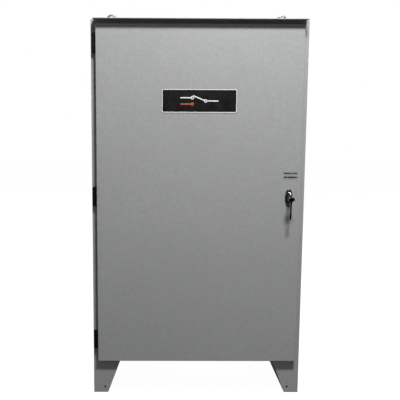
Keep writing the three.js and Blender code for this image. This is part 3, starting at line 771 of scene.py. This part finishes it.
def lock_plug():
    """Face of the key cylinder; its keyway is a thin black sheet on the face, painted shade in place of a cut
    slot.
    """
    low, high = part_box("lock_plug")
    radius = (high.x - low.x) / 2 / MM
    bm = bmesh.new()
    turned(bm, [(0, 0.2), (radius - 0.7, 0.2), (radius - 0.1, 0.8), (radius - 0.1, 12), (0, 12)],
           (LOCK.x, low.y, LOCK.z), "y", 36)
    piece("lock_face", bm, CHROME, "lock", ["lock_plug"])
    key = bmesh.new()
    half_wide, half_tall = 0.9 * MM, 3.6 * MM
    slot = rounded(LOCK.x - half_wide, LOCK.x + half_wide, LOCK.z - half_tall, LOCK.z + half_tall, 0.8 * MM)
    # painted shade: a black sheet stands where the keyway's slot would lie in shadow
    slab(key, slot, low.y + 0.05 * MM, low.y + 0.6 * MM)
    piece("keyway", key, INK_AND_KEYWAY_SHADE, "lock")


def swept(bm, stations, sides=24, squareness=0.7):
    """Adds a tapering bar in mm through stations of (y, z, half width in x, half thickness)."""
    loops = []
    for i, (y, z, wide, thick) in enumerate(stations):
        before, after = stations[max(0, i - 1)], stations[min(len(stations) - 1, i + 1)]
        run = Vector((0, after[0] - before[0], after[1] - before[1])).normalized()
        across = Vector((0, run.z, -run.y))
        loop = []
        for k in range(sides):
            c, s = math.cos(2 * math.pi * k / sides), math.sin(2 * math.pi * k / sides)
            offset = Vector((wide * math.copysign(abs(c) ** squareness, c), 0, 0))
            offset += across * thick * math.copysign(abs(s) ** squareness, s)
            loop.append(bm.verts.new((Vector((0, y, z)) + offset) * MM))
        loops.append(loop)
    for first, second in zip(loops, loops[1:]):
        for k in range(sides):
            j = (k + 1) % sides
            bm.faces.new((first[k], first[j], second[j], second[k]))
    bm.faces.new(loops[0])
    bm.faces.new(list(reversed(loops[-1])))


def add_to(bm, other):
    """Moves the faces of one bmesh into another."""
    mesh = bpy.data.meshes.new("part")
    other.to_mesh(mesh)
    other.free()
    bm.from_mesh(mesh)
    bpy.data.meshes.remove(mesh)


def handle():
    """Cast turn handle: boss, an arm with a rib that slopes out and down, cross knuckle, hanging blade."""
    low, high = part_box("handle_lever")
    boss_z = (HANDLE.z - low.z) / MM
    root_y = (high.y - low.y) / MM
    knuckle_y, knuckle_z = 8.5, (GRIP_Z - low.z) / MM
    bm = bmesh.new()
    boss = [(0, 0), (11.8, 0), (12.0, -0.8), (12.0, -8), (11.0, -11), (8.6, -13), (5.0, -14), (0, -14.2)]
    turned(bm, boss, (0, root_y * MM, boss_z * MM), "y", 40)
    arm = [(root_y - 2, boss_z + 0.5, 7.0, 7.6), (root_y - 12, boss_z + 0.5, 6.2, 6.8),
           (root_y - 30, boss_z - 7.5, 5.2, 5.6), (knuckle_y + 14, knuckle_z + 7, 4.9, 5.2),
           (knuckle_y + 3, knuckle_z + 2, 4.9, 5.2), (knuckle_y + 0.3, knuckle_z - 5, 4.6, 5.4)]
    swept(bm, arm)
    cross = [(0, -13.4), (6.6, -13.4), (8.0, -12.4), (8.4, -11), (8.4, 0), (8.4, 11), (8.0, 12.4),
             (6.6, 13.4), (0, 13.4)]
    turned(bm, cross, (0, knuckle_y * MM, knuckle_z * MM), "x", 32)
    rib = bmesh.new()
    spindle = [(0, -14), (3.2, -13.2), (5.2, -10), (5.6, 0), (5.2, 10), (3.2, 13.2), (0, 14)]
    turned(rib, spindle, (0, 0, 0), "z", 28)
    lie = Vector((9, -11.2, -17)).to_track_quat("Z", "X").to_matrix().to_4x4()
    place = Matrix.Translation(Vector((1.5, root_y - 25, boss_z - 2)) * MM)
    bmesh.ops.transform(rib, matrix=place @ lie, verts=rib.verts)
    add_to(bm, rib)
    ball_radius = 5.6
    angles = [math.radians(degrees) for degrees in range(-75, 76, 15)]
    ball = [(ball_radius * math.cos(angle), ball_radius * math.sin(angle)) for angle in angles]
    ball = [(0, -ball_radius)] + ball + [(0, ball_radius)]
    turned(bm, ball, (0, (knuckle_y - 0.8) * MM, (knuckle_z - 10.5) * MM), "z", 28)
    blade = []
    steps = 14
    tip_from, tip_length = 0.94, 0.06
    for i in range(steps + 1):
        t = i / steps
        close = math.sqrt(max(0.0, 1 - max(0.0, (t - tip_from) / tip_length) ** 2))
        swell = 1 + 0.10 * math.exp(-((t - 0.9) / 0.07) ** 2)
        wide = 3.9 * swell * (0.4 + 0.6 * close)
        thick = (9.2 - 2.8 * t) * (0.55 + 0.45 * close)
        blade.append((10.4 + 8.8 * t, (knuckle_z - 2) * (1 - t) + 0.3, wide, thick))
    swept(bm, blade)
    bmesh.ops.translate(bm, verts=bm.verts, vec=(HANDLE.x, low.y, low.z))
    # the casting's chrome is darkened in colour: painted shade for dark reflections of the room
    fused("handle_casting", bm, CHROME_WITH_PAINTED_SHADE, "handle", ["handle_lever"], voxel=0.5)
    formed("handle_spindle", ZINC, edge=0.5)
    formed("latch_cam", ZINC, edge=0.5)
    formed("spindle_bushing", ZINC, edge=0.6)


def latch():
    for side in ("upper", "lower"):
        formed(f"{side}_latch_rod", ZINC, edge=0.4)
        formed(f"{side}_rod_guide", ZINC, edge=0.5)
        low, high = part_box(f"{side}_rod_roller")
        centre = (low + high) / 2
        half, radius = (high.x - low.x) / 2 / MM, (high.z - low.z) / 2 / MM
        bm = bmesh.new()
        tyre = [(3.4, -half), (radius - 1.2, -half), (radius, -half + 1.2), (radius, half - 1.2),
                (radius - 1.2, half), (3.4, half)]
        turned(bm, tyre, centre, "x", 36, closed=True)
        piece(f"{side}_roller_tyre", bm, BLACK_MOULDING, f"{side}_roller", [f"{side}_rod_roller"])
    clips = bmesh.new()
    for side in (1, -1):
        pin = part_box("upper_latch_rod" if side == 1 else "lower_latch_rod")
        z = HANDLE.z + side * 24 * MM
        y = pin[0].y + 7.2 * MM
        clip = [(4.1, 0), (6.4, 0), (6.4, 0.9), (4.1, 0.9)]
        turned(clips, clip, (HANDLE.x, y + 0.3 * MM, z), "y", 24, closed=True)
    hex_bolt(clips, (HANDLE.x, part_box("handle_spindle")[1].y, HANDLE.z), 8, "y", 1)
    piece("cam_clips", clips, ZINC, "handle")


# ---------------------------------------------------------------- mounting panel and bars
def panel():
    formed("mounting_panel", WHITE, edge=0.6)
    bolts = bmesh.new()
    for x, z in STUD_PLACES:
        hex_bolt(bolts, (x, PANEL_Y, z), 10)
    low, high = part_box("switch_base")
    inset = 0.015
    for x in (low.x + inset, high.x - inset):
        for z in (low.z + inset, high.z - inset):
            hex_bolt(bolts, (x, BASE_Y, z), 8)
    piece("panel_bolts", bolts, ZINC, "cabinet")
    formed("ground_bar", COPPER, edge=0.7)
    formed("neutral_bar", COPPER, edge=0.7)
    screws = bmesh.new()
    for node, count in (("ground_bar", 11), ("neutral_bar", 10)):
        low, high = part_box(node)
        for i in range(count):
            x = low.x + (high.x - low.x) * (i + 0.5) / count
            pan_screw(screws, (x, low.y, (low.z + high.z) / 2), 4.6)
    piece("bar_screws", screws, ZINC, "cabinet")
    sleeves = bmesh.new()
    ribbed = [(10.3, 0), (15, 0), (16.5, 3), (13.5, 6), (16.5, 9), (13.5, 12), (16.5, 15), (14, 18.5),
              (15, 23.6), (10.3, 23.6)]
    behind_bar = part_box("neutral_bar")[0].y + 12.4 * MM
    bar_z = 1.4
    for x in (0.110, 0.360):
        turned(sleeves, ribbed, (x, behind_bar, bar_z), "y", 32, closed=True)
    piece("neutral_insulators", sleeves, RED_MOULDING, "cabinet")


def terminal_strip():
    formed("terminal_strip", BLACK_MOULDING, edge=0.5)
    low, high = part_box("terminal_strip")
    screws, plates = bmesh.new(), bmesh.new()
    bays = 12
    wall = 3 * MM
    pitch = (high.x - low.x - wall) / bays
    deck = high.y - 22.4 * MM
    middle = (low.z + high.z) / 2
    half_wide, half_tall = 5.5 * MM, 19 * MM
    for i in range(bays):
        x = low.x + wall + pitch * (i + 0.5) - 1.5 * MM
        corner = (x - half_wide, deck - 1.2 * MM, middle - half_tall)
        brick(plates, corner, (x + half_wide, deck, middle + half_tall), 0.3)
        for z in (middle - 11 * MM, middle + 11 * MM):
            pan_screw(screws, (x, deck - 1.2 * MM, z), 3.4)
    piece("strip_plates", plates, COPPER, "cabinet")
    piece("strip_screws", screws, ZINC, "cabinet")


def control_relays():
    """Small plug-in relays in a row under the terminal strip."""
    bases, covers, rail = bmesh.new(), bmesh.new(), bmesh.new()
    brick(rail, (-0.385, PANEL_Y - 6 * MM, 1.2825), (-0.135, PANEL_Y - 0.3 * MM, 1.3175), 0.5)
    count, first, pitch = 4, -0.345, 0.058
    for i in range(count):
        x = first + pitch * i
        brick(bases, (x - 0.021, PANEL_Y - 0.022, 1.262), (x + 0.021, PANEL_Y - 6.3 * MM, 1.338), 1.2)
        brick(covers, (x - 0.0175, PANEL_Y - 0.044, 1.272), (x + 0.0175, PANEL_Y - 0.0222, 1.328), 2.0)
    piece("control_rail", rail, ZINC, "cabinet")
    piece("relay_sockets", bases, BLACK_MOULDING, "cabinet")
    piece("relay_covers", covers, BARRIER, "cabinet")


# ---------------------------------------------------------------- blade switch
PLATE_OUT = 0.217


def blade_switch():
    formed("switch_base", RED_MOULDING, edge=1.2)
    for side in ("left", "right"):
        formed(f"{side}_side_plate", ZINC, edge=0.6)
    for n in (1, 2, 3):
        for kind in ("utility_terminal", "generator_terminal", "load_terminal", "contact_blade"):
            formed(f"{kind}_{n}", COPPER, edge=0.5)
    low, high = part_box("contact_crossbar")
    bar = bmesh.new()
    half, radius = (high.x - low.x) / 2 / MM, (high.z - low.z) / 2 / MM
    shaft = [(0, -half), (radius - 1.2, -half), (radius, -half + 1.2), (radius, half - 1.2),
             (radius - 1.2, half), (0, half)]
    turned(bar, shaft, SHAFT, "x", 48)
    piece("crossbar_shaft", bar, BLACK_MOULDING, "blades", ["contact_crossbar"])
    collars = bmesh.new()
    collar = [(14, 8), (19, 8), (20, 9), (20, 19), (19, 20), (14, 20)]
    for x in POLES:
        for side in (-1, 1):
            sided = [(radius, side * along) for radius, along in collar]
            turned(collars, sided, (x, SHAFT.y, SHAFT.z), "x", 40, closed=True)
    piece("crossbar_collars", collars, RED_MOULDING, "blades")
    fasteners = bmesh.new()
    foot_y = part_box("left_side_plate")[1].y - 4 * MM
    for side in (-1, 1):
        for z in (-55, 55):
            hex_bolt(fasteners, (SHAFT.x + side * PLATE_OUT, foot_y, SHAFT.z + z * MM), 6)
    piece("side_plate_bolts", fasteners, ZINC, "cabinet")


def cable_lugs():
    """Set-screw lugs bolted to the nine terminal tongues."""
    lugs, bolts = bmesh.new(), bmesh.new()
    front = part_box("utility_terminal_1")[1].y - 8 * MM
    nose = front - 0.2 * MM
    screw = [(0, 0), (7.2, 0), (7.2, -3.5), (6.4, -4.4), (3.6, -4.4), (3.6, -2.2), (0, -2.2)]
    load_screw = [(0, 0), (6.4, 0), (6.4, -3.2), (5.6, -4), (3.2, -4), (3.2, -2), (0, -2)]
    for x in POLES:
        for side in (1, -1):
            z = SHAFT.z + side * 0.178
            brick(lugs, (x - 0.016, front - 0.030, z - 0.022), (x + 0.016, nose, z + 0.022), 1.5)
            hex_bolt(bolts, (x, front, z - side * 0.038), 8)
            turned(bolts, screw, (x, front - 0.030, z), "y", 6)
        side_x = x + 0.0355
        corner = (side_x - 0.0135, front - 0.026, SHAFT.z - 0.024)
        brick(lugs, corner, (side_x + 0.0135, nose, SHAFT.z + 0.012), 1.4)
        turned(bolts, load_screw, (side_x, front - 0.026, SHAFT.z - 0.006), "y", 6)
    piece("cable_lugs", lugs, LUG, "cabinet")
    piece("lug_bolts", bolts, ZINC, "cabinet")


def phase_barriers():
    """Insulating sheets between the poles, notched for the crossbar."""
    sheets = bmesh.new()
    front, back = SHAFT.y - 0.120, BASE_Y - 0.3 * MM
    reach, shoulder, notch, slant = 0.212, 0.192, 24 * MM, 0.02
    behind_shaft = SHAFT.y + 0.022
    for x in ((POLES[0] + POLES[1]) / 2, (POLES[1] + POLES[2]) / 2):
        outline = [(back, SHAFT.z - reach), (back, SHAFT.z + reach), (front + slant, SHAFT.z + reach),
                   (front, SHAFT.z + shoulder), (front, SHAFT.z + notch), (behind_shaft, SHAFT.z + notch),
                   (behind_shaft, SHAFT.z - notch), (front, SHAFT.z - notch), (front, SHAFT.z - shoulder),
                   (front + slant, SHAFT.z - reach)]
        slab(sheets, outline, x - 1.2 * MM, x + 1.2 * MM, "x", ease=0.4)
    piece("phase_barriers", sheets, BARRIER, "cabinet")


def throw_lever():
    formed("throw_lever", ZINC, edge=0.6)
    formed("throw_crank", ZINC, edge=0.6)
    arm = Vector((0, -1, 1)).normalized()
    inner_end = 0.151
    start = Vector((SHAFT.x - PLATE_OUT, SHAFT.y, SHAFT.z)) + arm * inner_end
    bm = bmesh.new()
    turned(bm, grip_profile(), (0, 0, 0), "z", 40)
    turn = arm.to_track_quat("Z", "X").to_matrix().to_4x4()
    bmesh.ops.transform(bm, matrix=Matrix.Translation(start) @ turn, verts=bm.verts)
    piece("throw_grip_sleeve", bm, RUBBER, "blades", ["throw_grip"], smooth=50)


def grip_profile():
    """Sleeve with finger grooves: (radius, distance) in mm from its inner end, with the bore for the tang."""
    outer = [(10.5, 0), (12, 0.6), (12.6, 3)]
    for i in range(1, 22):
        at = 3 + i * 4
        outer.append((13.2 + 0.55 * math.cos(at * math.pi / 8), at))
    outer += [(12.6, 91), (10, 95.5), (6, 97.6), (0, 98)]
    return [(0, 76), (6.4, 76), (6.4, 0)] + outer


def coils():
    formed("coil_plunger", ZINC, edge=0.5)
    for name in ("utility", "generator"):
        formed(f"{name}_coil_bracket", ZINC, edge=0.6, bend=1.5)
        low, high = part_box(f"{name}_coil")
        centre = (low + high) / 2
        half = (high.z - low.z) / 2 / MM
        bobbin, winding = bmesh.new(), bmesh.new()
        spool = [(8.8, -half), (25.6, -half), (26, -half + 0.5), (26, -half + 3), (25.4, -half + 3.6),
                 (12, -half + 3.6), (12, half - 3.6), (25.4, half - 3.6), (26, half - 3), (26, half - 0.5),
                 (25.6, half), (8.8, half)]
        turned(bobbin, spool, centre, "z", 48, closed=True)
        piece(f"{name}_bobbin", bobbin, BLACK_MOULDING, "cabinet", [f"{name}_coil"])
        turns = 16
        span = 2 * (half - 4)
        profile = [(12.4, -half + 4)]
        for i in range(turns * 4 + 1):
            at = -half + 4 + span * i / (turns * 4)
            profile.append((23.0 + 0.5 * abs(math.sin(math.pi * i / 4)), at))
        profile.append((12.4, half - 4))
        turned(winding, profile, centre, "z", 48, closed=True)
        piece(f"{name}_winding", winding, TAPE, "cabinet")


case()
door()
nameplate()
latch_label()
escutcheon()
lock_plug()
handle()
latch()
panel()
terminal_strip()
control_relays()
blade_switch()
cable_lugs()
phase_barriers()
throw_lever()
coils()
